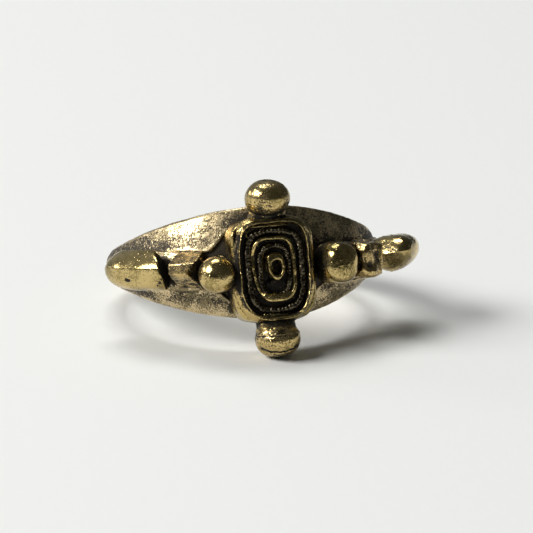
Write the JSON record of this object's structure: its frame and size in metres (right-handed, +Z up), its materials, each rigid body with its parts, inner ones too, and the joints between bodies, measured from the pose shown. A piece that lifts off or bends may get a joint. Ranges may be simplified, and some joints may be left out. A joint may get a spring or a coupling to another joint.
{
  "type": "finger ring",
  "caption": "Aged brass finger ring with a stepped rectangular bezel, corded wires round an eye, and applied pellets, balls and wedges along the shoulders.",
  "frame": {"origin": "bottom centre of the bounding box, on the surface the ring rests on", "axes": "+Z up, -Y is the side the bezel faces, +X to the right of someone who looks at the bezel; the ring leans back at rest, so the finger's axis is 15 degrees from +Z, towards +Y"},
  "size_m": [0.0244, 0.0244, 0.0132],
  "materials": {
    "shank_brass": "cast, pitted, brown-black patina worn to brass on the edges",
    "bezel_brass": "cast, worn bright along the ridges, dark in the hollows",
    "worn_brass": "worn smooth and bright, with a few pits and a thin olive patina",
    "patinated_brass": "near-black patina in the recesses, ridges rubbed to brass"
  },
  "bodies": {
    "root": {"shank": "shank_brass", "left_strip": "shank_brass", "right_strip": "shank_brass", "bezel_plate": "bezel_brass", "bezel_outer_frame": "bezel_brass", "bezel_inner_frame": "bezel_brass", "bezel_eye_collet": "bezel_brass", "bezel_outer_cord": "patinated_brass", "bezel_inner_cord": "patinated_brass", "top_neck": "patinated_brass", "bottom_neck": "patinated_brass", "left_ball_seat": "patinated_brass", "right_ball_seat": "patinated_brass", "top_pellet": "worn_brass", "bottom_pellet": "worn_brass", "left_ball": "worn_brass", "right_ball": "worn_brass", "left_wedge": "worn_brass", "right_wedge": "worn_brass", "left_end_pellet": "worn_brass", "right_end_pellet": "worn_brass"}
  },
  "joints": []
}
